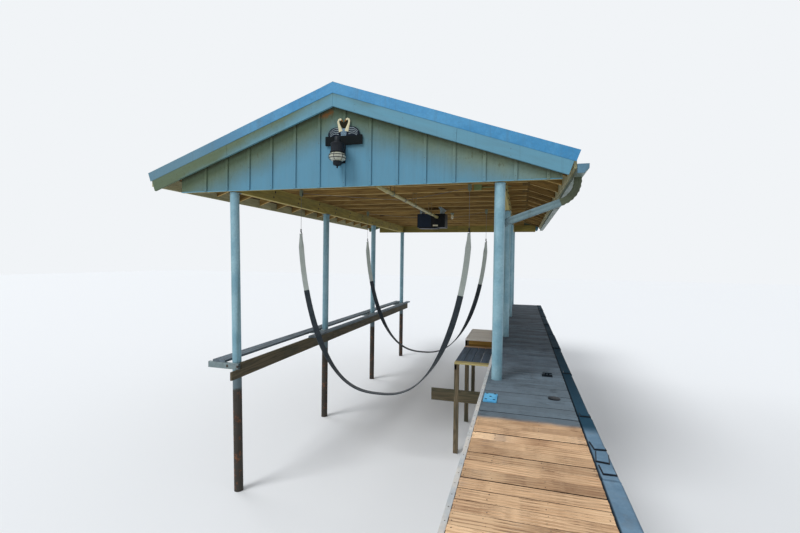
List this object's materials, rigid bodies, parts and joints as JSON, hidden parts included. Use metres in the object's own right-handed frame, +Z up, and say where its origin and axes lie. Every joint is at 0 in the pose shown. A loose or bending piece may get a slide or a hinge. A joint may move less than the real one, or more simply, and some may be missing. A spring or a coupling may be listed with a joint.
{
  "type": "open boathouse over a slip, on steel pipe posts with a side walkway",
  "caption": "Open gable-roofed boathouse over a slip on pipe posts, with a timber walkway, a catwalk, a low landing and a sling hoist.",
  "frame": {"origin": "centre of the front right post's foot, at the water plane", "axes": "+X to the bank side, +Y from the open front to the rear of the slip, +Z up"},
  "size_m": [6.84, 15.495, 6.381],
  "materials": {
    "galvanised_pipe": "dull galvanised steel pipe, rusty brown near the water",
    "frame_timber": "treated pine, olive brown, unpainted",
    "roof_timber": "unpainted sawn pine, brown with age",
    "roof_sheet": "pale blue-grey ribbed roofing steel",
    "metal_trim": "folded blue-grey steel trim",
    "painted_board": "pale grey-blue paint on boards, streaked",
    "eave_board": "weathered cream paint",
    "gutter_metal": "grey-blue painted steel",
    "deck_wood": "red-brown weathered deck boards, greyed by wear",
    "pile_wood": "dark round timber piles, wet at the foot",
    "dark_cap": "blue-black capping with joints",
    "pale_strip": "off-white bumper strip with nails",
    "landing_wood": "sun-bleached boards on darker framing",
    "catwalk_wood": "blue-grey weathered planks",
    "wet_beam": "dark damp timber",
    "lamp_black": "black painted metal with a cream glass band",
    "sign_dark": "dark plaque with a cream ornament",
    "hoist_dark": "black painted housing",
    "plain_steel": "dull zinc-coated steel",
    "sling_web": "pale webbing with black sleeves"
  },
  "bodies": {
    "root": {"left_post_1": "galvanised_pipe", "left_post_2": "galvanised_pipe", "left_post_3": "galvanised_pipe", "left_post_4": "galvanised_pipe", "right_post_1": "galvanised_pipe", "right_post_2": "galvanised_pipe", "right_post_3": "galvanised_pipe", "right_post_4": "galvanised_pipe", "post_caps": "plain_steel", "post_beams": "frame_timber", "headers": "frame_timber", "ceiling_joists": "roof_timber", "left_rafters": "roof_timber", "right_rafters": "roof_timber", "truss_webs": "roof_timber", "left_roof_boards": "roof_timber", "right_roof_boards": "roof_timber", "left_roof_sheet": "roof_sheet", "right_roof_sheet": "roof_sheet", "ridge_cap": "roof_sheet", "rake_trims": "metal_trim", "rake_boards": "painted_board", "front_siding": "painted_board", "rear_siding": "painted_board", "battens": "painted_board", "fascias": "eave_board", "gutter": "gutter_metal", "downspout": "gutter_metal", "deck_boards": "deck_wood", "deck_stringers": "pile_wood", "deck_bearers": "pile_wood", "deck_piles": "pile_wood", "deck_cap": "dark_cap", "deck_edge_strip": "pale_strip", "landing_boards": "landing_wood", "landing_frame": "landing_wood", "catwalk_planks": "catwalk_wood", "catwalk_beam": "wet_beam", "wall_lamp": "lamp_black", "sign_plaque": "sign_dark", "hoist_motor": "hoist_dark", "catwalk_arms": "plain_steel", "drive_pipe": "plain_steel", "hoist_cables": "plain_steel", "slings": "sling_web"}
  },
  "joints": []
}
